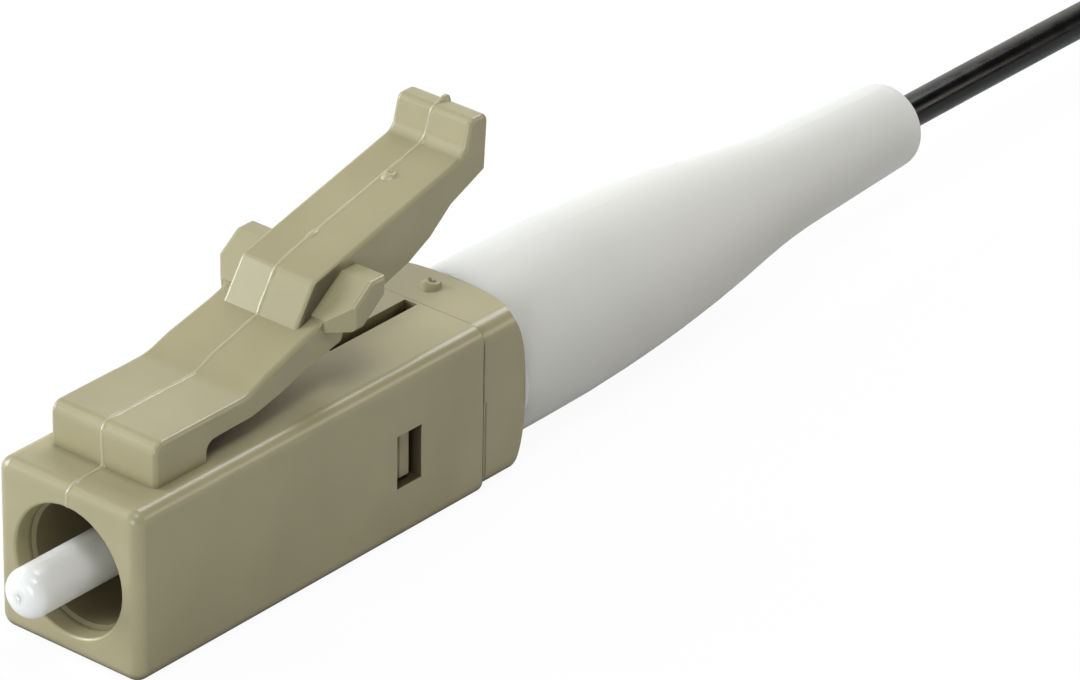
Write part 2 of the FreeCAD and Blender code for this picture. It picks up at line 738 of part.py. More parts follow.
def rear_body(model):
    """Rear body: square insert with two snap tabs, turned cap and barbed spigot for the boot."""
    body = model.body("rear_body")
    size = model.size
    sketch = model.sketch(body, "insert_section", "YZ_Plane", offset="insert_start")
    model.rectangle(sketch, "-insert_half_width", "insert_half_width",
                    "-insert_half_height", "insert_half_height")
    model.feature(body, "Pad", "insert", sketch, Length="=sizes.insert_length")

    def insert_corner(edge):
        return runs_along(edge, "X")

    def insert_nose(edge):
        return at(edge.BoundBox.XMax, size("insert_start"))

    model.tip_edges(body, "insert_corners", "insert_corner", insert_corner, kind="Chamfer")
    model.tip_edges(body, "insert_lead", "insert_lead", insert_nose, kind="Chamfer")

    sketch = model.sketch(body, "tab_plan", "XY_Plane", offset="-window_drop")
    for sign in ("", "-"):
        model.outline(sketch, [
            ("tab_start", sign + "tab_root"),
            ("tab_start", sign + "insert_half_width"),
            ("tab_flat_start", sign + "tab_face"),
            ("tab_end", sign + "tab_face"),
            ("tab_end", sign + "tab_root"),
        ])
    model.feature(body, "Pad", "snap_tabs", sketch, Length="=sizes.tab_height", SideType="Symmetric")

    # cap behind the housing, square in front and turned to a dome behind
    sketch = model.sketch(body, "cap_section", "YZ_Plane", offset="body_length")
    model.rectangle(sketch, "-cap_half_width", "cap_half_width", "-cap_half_height", "cap_half_height")
    model.feature(body, "Pad", "cap", sketch, Length="=sizes.cap_length")
    cap_side = size("cap_half_width")

    def cap_corner(edge):
        box = edge.BoundBox
        return runs_along(edge, "X") and at(max(box.YMax, -box.YMin), cap_side)

    model.tip_edges(body, "cap_corners", "cap_corner_round", cap_corner)
    model.turned(body, "Groove", "cap_dome", [
        ("cap_shoulder", "cap_shoulder_radius", ("cap_dome_radius", 1)),
        ("cap_end", "cap_rear_radius"),
        ("cap_end", "cap_clear_radius"),
        ("cap_shoulder", "cap_clear_radius"),
    ])

    # spigot that the boot is pushed over, with a row of barbs
    sketch = model.sketch(body, "spigot_section", "YZ_Plane", offset="cap_end")
    model.circle(sketch, "spigot_radius")
    model.feature(body, "Pad", "spigot", sketch, Length="=sizes.spigot_length")
    barb = model.turned(body, "Revolution", "barb", [
        ("barb_foot", "barb_root"),
        ("barb_foot", "barb_radius"),
        ("barb_tip", "spigot_radius"),
        ("barb_tip", "barb_root"),
    ])
    row = body.newObject("PartDesign::LinearPattern", "barbs")
    row.Originals = [barb]
    row.Direction = (barb.Profile[0], ["H_Axis"])
    row.setExpression("Length", "sizes.barb_span")
    row.Occurrences = 3
    body.Tip = row
    model.document.recompute()
    model.turned(body, "Groove", "rear_bore", [
        ("insert_start", "0"),
        ("insert_start", "insert_bore_radius"),
        ("insert_bore_end", "insert_bore_radius"),
        ("insert_bore_end", "spigot_bore_radius"),
        ("spigot_end", "spigot_bore_radius"),
        ("spigot_end", "0"),
    ])
    return body


def ferrule(model):
    """Ceramic ferrule with a rounded tip and the fine hole for the glass."""
    body = model.body("ferrule")
    model.turned(body, "Revolution", "ferrule_turned", [
        ("-ferrule_reach", "fibre_hole_radius"),
        ("-ferrule_reach", "ferrule_tip_flat", ("ferrule_tip_round", 1)),
        ("ferrule_tip_shoulder", "ferrule_radius"),
        ("ferrule_end", "ferrule_radius"),
        ("ferrule_end", "fibre_hole_radius"),
    ])
    return body


def ferrule_flange(model):
    """Metal flange pressed on the ferrule: hexagonal collar and the tube behind it."""
    body = model.body("ferrule_flange")
    sketch = model.sketch(body, "collar_section", "YZ_Plane", offset="collar_start")
    model.hexagon(sketch, "collar_corner", "collar_half_corner", "collar_half")
    model.feature(body, "Pad", "collar", sketch, Length="=sizes.collar_length")
    model.turned(body, "Groove", "collar_lead_in", [
        ("collar_start", "collar_lead_radius"),
        ("collar_start", "collar_clear_radius"),
        ("collar_lead_end", "collar_clear_radius"),
        ("collar_lead_end", "collar_corner"),
    ])
    sketch = model.sketch(body, "tube_section", "YZ_Plane", offset="collar_end")
    model.circle(sketch, "flange_tube_radius")
    model.feature(body, "Pad", "flange_tube", sketch, Length="=sizes.flange_tube_length")
    model.turned(body, "Groove", "flange_bore", [
        ("collar_start", "0"),
        ("collar_start", "ferrule_radius"),
        ("flange_step", "ferrule_radius"),
        ("flange_step", "guide_radius"),
        ("flange_end", "guide_radius"),
        ("flange_end", "0"),
    ])
    return body


def guide_tube(model):
    """Thin tube behind the ferrule that the buffered fibre runs through."""
    body = model.body("guide_tube")
    sketch = model.sketch(body, "guide_section", "YZ_Plane", offset="guide_start")
    model.circle(sketch, "guide_radius")
    model.circle(sketch, "guide_bore_radius")
    model.feature(body, "Pad", "guide", sketch, Length="=sizes.guide_length")
    return body


def glass_fibre(model):
    """Bare glass in the ferrule, polished flush with its tip."""
    body = model.body("glass_fibre")
    sketch = model.sketch(body, "glass_section", "YZ_Plane", offset="-ferrule_reach")
    model.circle(sketch, "glass_radius")
    model.feature(body, "Pad", "glass", sketch, Length="=sizes.glass_length")
    return body


def compression_spring(model):
    """Coil spring between the ferrule's collar and the rear body, its round wire as an octagon."""
    body = model.body("compression_spring")
    sketch = model.sketch(body, "wire_section", "XZ_Plane")
    model.outline(sketch, [
        ("wire_front", "wire_inner_flat"),
        ("wire_front_flat", "wire_inner"),
        ("wire_rear_flat", "wire_inner"),
        ("wire_rear", "wire_inner_flat"),
        ("wire_rear", "wire_outer_flat"),
        ("wire_rear_flat", "wire_outer"),
        ("wire_front_flat", "wire_outer"),
        ("wire_front", "wire_outer_flat"),
    ])
    helix = body.newObject("PartDesign::AdditiveHelix", "wire")
    helix.Profile = sketch
    helix.ReferenceAxis = (sketch, ["H_Axis"])
    helix.Mode = "height-turns-angle"
    helix.setExpression("Height", "sizes.spring_height")
    helix.setExpression("Turns", "sizes.spring_turns")
    sketch.Visibility = False
    model.document.recompute()
    return body


def boot(model):
    """Soft strain-relief boot: straight shoulder, bulging taper, hollow neck and slender tail."""
    body = model.body("boot")
    model.turned(body, "Revolution", "boot_turned", [
        ("cap_end", "boot_socket_radius"),
        ("cap_end", "boot_base_radius"),
        ("boot_shoulder_end", "boot_base_radius", ("boot_bulge_radius", 1)),
        ("boot_neck_end", "boot_neck_radius", ("boot_hollow_radius", -1)),
        ("boot_waist_end", "boot_waist_radius"),
        ("boot_round_start", "boot_end_radius", ("boot_end_round", 1)),
        ("boot_end", "boot_end_flat"),
        ("boot_end", "boot_bore_radius"),
        ("boot_socket_end", "boot_bore_radius"),
        ("boot_socket_end", "boot_socket_radius"),
    ])
    return body


def fibre_in_boot(model):
    """Buffered fibre inside the plug and the boot."""
    body = model.body("fibre_in_boot")
    sketch = model.sketch(body, "buffer_section", "YZ_Plane", offset="buffer_start")
    model.circle(sketch, "buffer_radius")
    model.feature(body, "Pad", "buffer", sketch, Length="=sizes.buffer_inner_length")
    return body


def rounded_route(points):
    """A wire of straight runs joined by tangent arcs, with the radius of each arc."""
    edges = []
    radii = []
    start = points[0]
    for before, corner, after in zip(points, points[1:], points[2:]):
        into = corner - before
        out = after - corner
        half_turn = into.getAngle(out) / 2
        reach = 0.45 * min(into.Length, out.Length)
        radii.append(reach / math.tan(half_turn))
        arc_start = corner - into.normalize() * reach
        arc_end = corner + out.normalize() * reach
        inward = (out - into).normalize()
        depth = radii[-1] * (1 / math.cos(half_turn) - 1)
        edges.append(Part.LineSegment(start, arc_start).toShape())
        edges.append(Part.Arc(arc_start, corner + inward * depth, arc_end).toShape())
        start = arc_end
    edges.append(Part.LineSegment(start, points[-1]).toShape())
    return Part.Wire(edges), radii


def fibre_lead(model):
    """Buffered fibre from the boot down to the surface and along it to the hank."""
    document = model.document
    size = model.size
    side = size("hank_side")
    floor = -size("buffer_on_floor")
    points = [
        FreeCAD.Vector(size("buffer_joint"), 0, 0),
        FreeCAD.Vector(size("cord_bend"), 0, 0),
        FreeCAD.Vector(size("cord_landing"), side, floor),
        FreeCAD.Vector(size("hank_start"), side, floor),
    ]
    wire, radii = rounded_route(points)
    route = document.addObject("Part::Feature", "fibre_route")
    route.Shape = wire
    section = document.addObject("Part::Circle", "fibre_section")
    section.setExpression("Radius", "sizes.buffer_radius")
    section.setExpression("Placement.Base.x", "sizes.buffer_joint")
    section.Placement.Rotation = FreeCAD.Rotation(FreeCAD.Vector(0, 1, 0), 90)
    tube = document.addObject("Part::Sweep", "fibre_lead")
    tube.Label = "fibre_lead"
    tube.Sections = [section]
    tube.Spine = (route, [f"Edge{i + 1}" for i in range(len(wire.Edges))])
    tube.Solid = True
    tube.Frenet = False
    document.recompute()
    NODES.append(tube)
    print("fibre_lead radii", [round(radius, 2) for radius in radii])
    expected = math.pi * size("buffer_radius") ** 2 * wire.Length
    print("fibre_lead volume", round(tube.Shape.Volume, 4), "section times length", round(expected, 4))
    if abs(tube.Shape.Volume / expected - 1) > 0.01:
        raise RuntimeError("fibre_lead: volume differs from its section times its length")
    return tube


def place_on_hank(model, body):
    """Put a body drawn about the hank's own middle where the hank lies."""
    body.setExpression("Placement.Base.x", "sizes.hank_centre")
    body.setExpression("Placement.Base.y", "sizes.hank_side - sizes.hank_entry")
    body.setExpression("Placement.Base.z", "-sizes.half_height")
    model.document.recompute()


def fibre_hank(model):
    """The rest of the fibre as the outer shape of its hank, with the start of the lead."""
    body = model.body("fibre_hank")
    sketch = model.sketch(body, "hank_plan", "XY_Plane", offset="hank_base")
    model.stadium(sketch, "hank_half_run", "hank_outer_radius")
    model.stadium(sketch, "hank_half_run", "hank_inner_radius")
    model.feature(body, "Pad", "hank", sketch, Length="=sizes.hank_height")

    def rim(edge):
        return edge.BoundBox.ZLength < 1e-4

    model.tip_edges(body, "hank_rims", "hank_edge", rim, kind="Chamfer")
    sketch = model.sketch(body, "lead_section", "YZ_Plane", offset="-hank_lead_reach")
    model.circle(sketch, "buffer_radius", ("hank_entry", "buffer_radius"))
    model.feature(body, "Pad", "lead", sketch, Length="=sizes.hank_lead_length")
    place_on_hank(model, body)
    return body


def hank_tie(model):
    """Band round the middle of the hank."""
    body = model.body("hank_tie")
    sketch = model.sketch(body, "tie_section", "YZ_Plane")
    across = ("-tie_skin_side", "-tie_corner_side", "tie_corner_side", "tie_skin_side")
    up = ("0", "tie_low", "tie_high", "tie_skin_top")
    model.rounded_rectangle(sketch, across, up, "tie_skin_edge")
    across = ("-tie_side", "-tie_corner_side", "tie_corner_side", "tie_side")
    up = ("tie_thickness", "tie_low", "tie_high", "tie_top")
    model.rounded_rectangle(sketch, across, up, "hank_edge")
    model.feature(body, "Pad", "tie", sketch, Length="=sizes.tie_width", SideType="Symmetric")
    place_on_hank(model, body)
    return body


def check_and_write(model):
    """Stop on any failed object or shape, then write each piece to its own file."""
    model.document.recompute()
    for thing in model.document.Objects:
        if "Invalid" in thing.State or "Error" in thing.State:
            raise RuntimeError(f"{thing.Name}: {thing.State}")
    for node in NODES:
        shape = node.Shape
        if shape.isNull() or not shape.isValid() or len(shape.Solids) != 1:
            raise RuntimeError(f"{node.Label}: not one valid solid")
    os.makedirs("parts", exist_ok=True)
    for node in NODES:
        node.Shape.exportStep(f"parts/{node.Label}.step")
        print(f"{node.Label:20} {node.Shape.Volume:9.4f} mm3")


def main():
    model = Model()
    makers = (front_housing, latch_lever, rear_body, ferrule, ferrule_flange, guide_tube, glass_fibre,
              compression_spring, boot, fibre_in_boot, fibre_lead, fibre_hank, hank_tie)
    for make in makers:
        make(model)
    check_and_write(model)


main()
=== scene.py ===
# %% [markdown]
# # LC fibre connector
# This file dresses a small fibre optic plug: a beige moulded housing with a sprung latch, a white
# ceramic ferrule, a white tapered boot and a thin black fibre. The solids come from the CAD frame, in
# metres, and they stay where they are. What is added here is what the solids don't have: the finish of
# each material, the fine lines that a mould leaves, a latch skin cut across where its root flexes, and
# the real wound fibre.

# %% Load the frame and keep its size
import math
import bpy
import bmesh
from mathutils import Matrix, Vector, noise
from mathutils.bvhtree import BVHTree


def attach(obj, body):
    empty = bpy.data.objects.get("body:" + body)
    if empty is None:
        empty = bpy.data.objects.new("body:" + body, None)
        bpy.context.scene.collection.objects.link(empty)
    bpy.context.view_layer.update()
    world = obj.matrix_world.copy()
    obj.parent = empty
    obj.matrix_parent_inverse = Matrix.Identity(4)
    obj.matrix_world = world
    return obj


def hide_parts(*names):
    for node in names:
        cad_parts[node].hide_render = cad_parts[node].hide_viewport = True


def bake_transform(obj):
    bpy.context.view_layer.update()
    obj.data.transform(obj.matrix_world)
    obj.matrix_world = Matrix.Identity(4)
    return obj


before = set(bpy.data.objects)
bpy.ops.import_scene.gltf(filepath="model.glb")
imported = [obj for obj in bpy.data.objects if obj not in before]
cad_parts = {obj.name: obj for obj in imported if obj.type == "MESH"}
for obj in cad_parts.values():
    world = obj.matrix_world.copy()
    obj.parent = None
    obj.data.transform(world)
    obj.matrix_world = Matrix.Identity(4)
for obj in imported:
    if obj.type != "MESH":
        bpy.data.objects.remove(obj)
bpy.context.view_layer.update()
MM = 0.001


def mm(x, y, z):
    """A point given in millimetres, as Blender's metres."""
    return Vector((x * MM, y * MM, z * MM))


def put_in_scene(name, data):
    """A new object in the scene that shows a mesh, a curve, a lamp or a camera."""
    shown = bpy.data.objects.new(name, data)
    bpy.context.scene.collection.objects.link(shown)
    return shown


print("nodes", sorted(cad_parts))

# %% [markdown]
# ## Camera
# A plug this small is looked at from about a hand's width away with a long lens, so its edges stay almost
# parallel. The camera is set from three plain angles, azimuth, elevation and a slight roll. Its three
# axes are worked out from those and written as one matrix, which is easier to keep exact than a chain
# of rotations.

# %% Camera
CAMERA_AZIMUTH = math.radians(50.25)
CAMERA_ELEVATION = math.radians(28.286)
CAMERA_ROLL = math.radians(0.874)
CAMERA_PLACE = mm(-106.176, -102.369, 85.41)
CAMERA_LENS_MM = 245.71
CAMERA_SENSOR_MM = 36.0
NEAREST_SEEN_MM = 1.0
FARTHEST_SEEN_MM = 20000.0

away = Vector((-math.sin(CAMERA_AZIMUTH) * math.cos(CAMERA_ELEVATION),
               -math.cos(CAMERA_AZIMUTH) * math.cos(CAMERA_ELEVATION),
               math.sin(CAMERA_ELEVATION)))
level = Vector((math.cos(CAMERA_AZIMUTH), -math.sin(CAMERA_AZIMUTH), 0))
upright = away.cross(level)
cos_roll = math.cos(CAMERA_ROLL)
sin_roll = math.sin(CAMERA_ROLL)
camera_right = level * cos_roll + upright * sin_roll
camera_up = upright * cos_roll - level * sin_roll

camera_data = bpy.data.cameras.new("camera")
camera_data.lens = CAMERA_LENS_MM
camera_data.sensor_width = CAMERA_SENSOR_MM
camera_data.clip_start = NEAREST_SEEN_MM * MM
camera_data.clip_end = FARTHEST_SEEN_MM * MM
camera = put_in_scene("camera", camera_data)
turn = Matrix((camera_right, camera_up, away)).transposed().to_4x4()
camera.matrix_world = Matrix.Translation(CAMERA_PLACE) @ turn
bpy.context.scene.camera = camera
print("camera stands", round(CAMERA_PLACE.length / MM), "mm from the front face")

# %% [markdown]
# ## The buffered fibre
# The lead is a glass fibre in a tight black jacket, 0.9 mm across and a metre long. It leaves the boot
# straight, sinks to the table, and the spare length is folded into a tied hank in line with the plug. A
# cord could be swept as a mesh, but a NURBS curve with a round bevel keeps its points few and its line
# smooth. The turns of the hank are more control points of the same curve, made by a loop: the winding
# goes inwards for two turns, climbs one diameter, comes outwards for two turns, and so on.

# %% The route of the fibre and its hank
FIBRE_DIAMETER = 0.9
TABLE_HEIGHT = -2.26
FIBRE_ON_TABLE = TABLE_HEIGHT + FIBRE_DIAMETER / 2
HANK_CENTRE = (70.0, -3.16)
HANK_HALF_RUN = 9.0
HANK_OUTER_TURN = 4.96
TURN_PITCH = 0.93
TURNS_IN_ROW = 3
ROWS_HIGH = 5
FIRST_ROW_LIFT = 0.13
FOLD_STEP = 30        # degrees from one point of a fold to the next

fibre_points = [(30.2, 0.0, 0.0), (41.2, 0.0, 0.0),
                (52.2, 1.8, FIBRE_ON_TABLE), (57.5, 1.8, FIBRE_ON_TABLE)]


def hank_station(turns):
    """Fold radius and row after so many turns: across for two turns, then up for one."""
    row = min(int(turns // TURNS_IN_ROW), ROWS_HIGH - 1)
    along = turns - row * TURNS_IN_ROW
    across = min(along, TURNS_IN_ROW - 1)
    climb = 0.0 if row == ROWS_HIGH - 1 else max(0.0, along - (TURNS_IN_ROW - 1))
    step = across if row % 2 == 0 else TURNS_IN_ROW - 1 - across
    return HANK_OUTER_TURN - TURN_PITCH * step, row + climb


# A turn as pairs of an end of the hank (-1 near the plug, 0 halfway, 1 far) and a heading in degrees.
one_turn = [(-1, 90), (0, 90)] + [(1, angle) for angle in range(90, -91, -FOLD_STEP)]
one_turn += [(0, 270)] + [(-1, angle) for angle in range(270, 119, -FOLD_STEP)]
for turn_number in range(TURNS_IN_ROW * ROWS_HIGH):
    for index, (end, angle) in enumerate(one_turn):
        turns = turn_number + index / len(one_turn)
        radius, row = hank_station(turns)
        heading = math.radians(angle)
        bulge = radius * math.cos(heading) if end else 0.0
        lift = FIRST_ROW_LIFT * min(1.0, turns)
        fibre_points.append((HANK_CENTRE[0] + end * HANK_HALF_RUN + bulge,
                             HANK_CENTRE[1] + radius * math.sin(heading),
                             FIBRE_ON_TABLE + lift + TURN_PITCH * row))
print("fibre control points", len(fibre_points))

# %% The fibre as one curve
fibre_curve = bpy.data.curves.new("buffered_fibre", "CURVE")
fibre_curve.dimensions = "3D"
fibre_curve.bevel_depth = 1.0   # times each point's own radius
fibre_curve.bevel_resolution = 5
fibre_curve.resolution_u = 5
fibre_curve.use_fill_caps = True
fibre_spline = fibre_curve.splines.new("NURBS")
fibre_spline.points.add(len(fibre_points) - 1)
for point, place in zip(fibre_spline.points, fibre_points):
    point.co = (*mm(*place), 1.0)
    point.radius = FIBRE_DIAMETER / 2 * MM
fibre_spline.order_u = 3
fibre_spline.use_endpoint_u = True
buffered_fibre = put_in_scene("buffered_fibre", fibre_curve)
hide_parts("fibre_lead", "fibre_hank")
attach(buffered_fibre, "plug")

# %% [markdown]
# ## Copies of a solid
# Two of the solids have to bend, the latch and the spring, so each is copied and the copy is dressed
# instead. A solid arrives as loose triangles. Its copy is merged first, so that it holds together when
# it bends, and each corner takes along the normal that it had, so that flat faces stay flat and rims
# stay round. The normals ride through the merging and cutting as a layer of the bmesh's own.

# %% Helpers for new pieces
MERGE_WITHIN = 0.0005


def new_piece(name, bm, flat_angle=30.0):
    """A scene object from a bmesh, smooth shaded except where its faces meet at a sharper angle."""
    mesh = bpy.data.meshes.new(name)
    bm.normal_update()
    bmesh.ops.recalc_face_normals(bm, faces=bm.faces)
    bm.to_mesh(mesh)
    bm.free()
    mesh.shade_smooth()
    mesh.set_sharp_from_angle(angle=math.radians(flat_angle))
    print(name, len(mesh.polygons), "faces")
    return put_in_scene(name, mesh)


def merged_copy(node_name):
    """A bmesh copy of a solid, merged at its corners, with the solid's normals in a layer."""
    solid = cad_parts[node_name].data
    bm = bmesh.new()
    bm.from_mesh(solid)
    solid_normal = bm.loops.layers.float_vector.new("solid_normal")
    for polygon, face in zip(solid.polygons, bm.faces):
        for corner, loop in zip(polygon.loop_indices, face.loops):
            loop[solid_normal] = solid.corner_normals[corner].vector
    bmesh.ops.remove_doubles(bm, verts=bm.verts, dist=MERGE_WITHIN * MM)
    return bm


def use_solid_normals(piece):
    """Shade a copy with the normals that it brought from its solid."""
    brought = piece.data.attributes["solid_normal"]
    piece.data.normals_split_custom_set([corner.vector[:] for corner in brought.data])
    piece.data.attributes.remove(brought)


# %% [markdown]
# ## The latch as one skin
# Housing and latch come out of the mould in one piece, and the latch swings because its thin root
# flexes. The solids are split there so that a simulator can move the latch. Here the latch is made again
# as a skin: a copy of its mesh whose heel reaches into the housing's root block, so no seam shows. One
# more cut runs down the middle, because the steep face of the knee is shaped by an insert of the mould
# on one side of it, and those faces take a smoother finish of their own, in a tone painted lighter.

# %% Latch skin
FLEXURE_START = 3.4
FLEXURE_END = 4.4
FLEXURE_CUTS = 10
HEEL_FACE = 3.43      # only the cut end of the arm lies in front of this
HEEL_REACH = 0.8
HEEL_SINKS = 0.012    # how far the heel shrinks under the skin of the root block
ARM_HALF_WIDTH = 1.65
HALVES_MEET_AT = 0.07
KNEE_FACE_FROM = 6.64
KNEE_FACE_TO = 7.26
KNEE_FACE_SIDE = 1.1
KNEE_LEANS_FORWARD = 0.6
KNEE_LOOKS_UP = 0.2


def cut_across(bm, place, direction):
    """New edges wherever a plane crosses the mesh."""
    bmesh.ops.bisect_plane(bm, geom=bm.verts[:] + bm.edges[:] + bm.faces[:], dist=MERGE_WITHIN * MM,
                           plane_co=place, plane_no=direction)


latch_bm = merged_copy("latch_lever")
for vertex in latch_bm.verts:
    if vertex.co.x < HEEL_FACE * MM:
        vertex.co.x -= HEEL_REACH * MM
        vertex.co.y *= 1 - HEEL_SINKS / ARM_HALF_WIDTH
        vertex.co.z -= HEEL_SINKS * MM
for cut in range(FLEXURE_CUTS):
    cut_at = FLEXURE_START + (cut + 0.5) * (FLEXURE_END - FLEXURE_START) / FLEXURE_CUTS
    cut_across(latch_bm, mm(cut_at, 0, 0), (1, 0, 0))
cut_across(latch_bm, mm(0, HALVES_MEET_AT, 0), (0, 1, 0))
# the steep knee faces beside the insert take the second finish, whose tone is painted lighter
for face in latch_bm.faces:
    middle = face.calc_center_median() / MM
    steep = face.normal.x < -KNEE_LEANS_FORWARD and face.normal.z > KNEE_LOOKS_UP
    on_knee = KNEE_FACE_FROM < middle.x < KNEE_FACE_TO
    by_insert = HALVES_MEET_AT < middle.y < KNEE_FACE_SIDE
    face.material_index = int(steep and on_knee and by_insert)
latch_skin = new_piece("latch_skin", latch_bm)
use_solid_normals(latch_skin)
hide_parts("latch_lever")
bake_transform(latch_skin)

# %% [markdown]
# ## The spring's copy
# The spring is copied like the latch, merged and with its solid's normals. On the real plug, when the
# ferrule is pushed back, its flange presses the front coil while the rear coil stays against the rear
# body.

# %% Spring coils
spring_coils = new_piece("spring_coils", merged_copy("compression_spring"))
use_solid_normals(spring_coils)
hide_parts("compression_spring")
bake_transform(spring_coils)

# %% [markdown]
# ## The flash line
# Where the two halves of a mould meet, a hair of plastic squeezes out. On this plug it runs down the
# middle: over the front, up the root block and along the latch to its tip, and it ends in a little nib.
# The line is drawn along the surface: points are spread along the outline of the middle section, each is
# moved to the nearest spot on the real mesh, and a long narrow grid is laid over them, a row of its
# points at each spot, arched into a low bead. A noise that changes slowly from row to row lets the bead
# wander and swell, as flash does.

# %% Stations of the flash line
FLASH_STEP = 0.08
middle_outline = [(0.0, 0.0, 1.66), (0.0, -0.04, 2.26), (1.24, 0.0, 2.26), (1.24, 0.02, 3.39),
                  (1.6, 0.05, 3.39), (4.45, 0.05, 3.39), (5.15, 0.06, 3.66), (6.62, 0.07, 4.06),
                  (7.28, 0.08, 5.06), (7.9, 0.13, 5.22), (12.6, 0.10, 6.37), (12.84, 0.05, 7.21),
                  (13.47, 0.05, 7.21), (13.46, 0.05, 7.05)]


def surface_of(pieces):
    """A search tree over several meshes that lie where the CAD puts them."""
    corners, faces = [], []
    for piece in pieces:
        first = len(corners)
        corners += [vertex.co.copy() for vertex in piece.data.vertices]
        faces += [[first + index for index in polygon.vertices] for polygon in piece.data.polygons]
    return BVHTree.FromPolygons(corners, faces)


moulding = surface_of([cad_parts["front_housing"], latch_skin])
stations = []
for begin, end in zip(middle_outline, middle_outline[1:]):
    begin, end = mm(*begin), mm(*end)
    count = max(1, round((end - begin).length / MM / FLASH_STEP))
    stations += [begin.lerp(end, i / count) for i in range(count)]
stations.append(mm(*middle_outline[-1]))
print("flash line", len(stations), "stations")

# %% Flash line
FLASH_HALF_WIDTH = 0.075
FLASH_HEIGHT = 0.018
FLASH_WANDER = 0.02   # how far the line strays to either side
WANDER_PACE = 0.11    # how fast the noise runs on from one row to the next
COMMON_SIZE = 0.85
SIZE_SWELLS = 0.5
SWELL_PACE = 0.23
NIB_HEIGHT = 0.13
NIB_WIDENS = 0.9
NIB_ROWS = 2.5        # the nib's reach, and below it the nib's place before the end, both in rows
NIB_BEFORE_END = 5
BLOB_AT = 8.62        # one thicker spot on the lever
BLOB_REACH = 0.12
BLOB_HEIGHT = 0.03
BLOB_WIDENS = 0.8
# The bead's cross-section, as shares of its half width and of its height; its feet are sunk.
BEAD = ((-1.0, -0.3), (-0.7, 0.45), (-0.2, 0.95), (0.3, 0.95), (0.75, 0.4), (1.0, -0.3))


def drifting(row_number, pace, lane):
    """A noise value that changes slowly from row to row; another lane gives another course."""
    return noise.noise(Vector((row_number * pace, lane, 0.0)))


flash_bm = bmesh.new()
bmesh.ops.create_grid(flash_bm, x_segments=len(BEAD) - 1, y_segments=len(stations) - 1, size=MM)
bead_points = iter(flash_bm.verts)
for index, station in enumerate(stations):
    spot, face_out = moulding.find_nearest(Vector((station.x, 0, station.z)))[:2]
    out = Vector((face_out.x, 0, face_out.z)).normalized()
    wander = FLASH_WANDER * MM * drifting(index, WANDER_PACE, lane=3.0)
    size = COMMON_SIZE + SIZE_SWELLS * drifting(index, SWELL_PACE, lane=9.0)
    nib = math.exp(-((index - len(stations) + NIB_BEFORE_END) / NIB_ROWS) ** 2)
    blob = math.exp(-((station.x - BLOB_AT * MM) / (BLOB_REACH * MM)) ** 2)
    height = (FLASH_HEIGHT * size + NIB_HEIGHT * nib + BLOB_HEIGHT * blob) * MM
    half = FLASH_HALF_WIDTH * (size + NIB_WIDENS * nib + BLOB_WIDENS * blob) * MM
    for across, up in BEAD:
        foot = Vector((spot.x, station.y + wander + across * half, spot.z))
        next(bead_points).co = foot + out * (up * height)
flash_line = new_piece("flash_line", flash_bm, flat_angle=80.0)
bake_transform(flash_line)

# %% [markdown]
# ## The gate marks
# A gate is the small opening through which plastic flows into the mould. When the part is broken off
# there, a torn stub stays behind: a thin smear on the lever and a thicker stub on the rear cap. Each
# is a low cone with its foot sunk in the surface. Its top is cut into smaller faces, dented by a pit to
# one side of the middle, roughened by a noise and pushed over to the side where it tore.

# %% Gate marks
GATE_SEGMENTS = 24
GATE_CUTS = 3
GATE_FOOT_DEPTH = 0.06
PIT_OFF_CENTRE = Vector((0.12, 0.02))   # these two are shares of the stub's width
PIT_RADIUS = 0.2
PIT_BELOW_FOOT = 0.02
TEAR_GRAIN = 0.12
TEAR_ROUGHNESS = 0.10
TEAR_SEED = 3         # unless it is set, the noise differs from one run to the next
noise.seed_set(TEAR_SEED)


def gate_mark(name, foot, width, height, lean):
    """The torn stub that is left where plastic flowed in: a low cone with a pit in its uneven top."""
    bm = bmesh.new()
    bmesh.ops.create_cone(bm, cap_ends=True, cap_tris=True, segments=GATE_SEGMENTS,
                          radius1=width / 2 * MM, radius2=width / 4 * MM,
                          depth=(height + GATE_FOOT_DEPTH) * MM)
    bmesh.ops.subdivide_edges(bm, edges=bm.edges, cuts=GATE_CUTS, use_grid_fill=True)
    for vertex in bm.verts:
        from_pit = (vertex.co.xy - PIT_OFF_CENTRE * width * MM).length / (PIT_RADIUS * width * MM)
        if vertex.co.z > 0 and from_pit < 1:
            vertex.co.z -= (1 - from_pit) * (height + PIT_BELOW_FOOT) * MM
        rough = noise.noise_vector(vertex.co / (TEAR_GRAIN * MM) + Vector(foot))
        vertex.co += rough * (TEAR_ROUGHNESS * height * MM)
        vertex.co.x += max(0.0, vertex.co.z) * lean
    rise = (height - GATE_FOOT_DEPTH) / 2
    bmesh.ops.translate(bm, verts=bm.verts, vec=mm(*foot) + mm(0, 0, rise))
    return new_piece(name, bm, flat_angle=50.0)


lever_gate = gate_mark("lever_gate_mark", foot=(11.2, -0.04, 6.03), width=0.5, height=0.05, lean=0.6)
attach(lever_gate, "latch")
cap_gate = gate_mark("cap_gate_mark", foot=(13.0, 0.22, 2.19), width=0.78, height=0.15, lean=0.9)
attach(cap_gate, "plug")

# %% [markdown]
# ## Colours and nodes
# Colours are picked as sRGB hex values, because that is how a colour is read off a sample card, but the
# shader works with linear light. One function does that sum. Another adds a node with its settings and
# its links at once, so each material below reads as a short recipe. A Mix node's two colours are its
# sockets 6 and 7, and its mixed colour is output 2.

# %% Helpers for materials


def linear(hex_colour):
    """An sRGB hex value as linear red, green, blue and alpha."""
    channels = []
    for start in (1, 3, 5):
        value = int(hex_colour[start:start + 2], 16) / 255
        channels.append(value / 12.92 if value <= 0.04045 else ((value + 0.055) / 1.055) ** 2.4)
    return (*channels, 1.0)


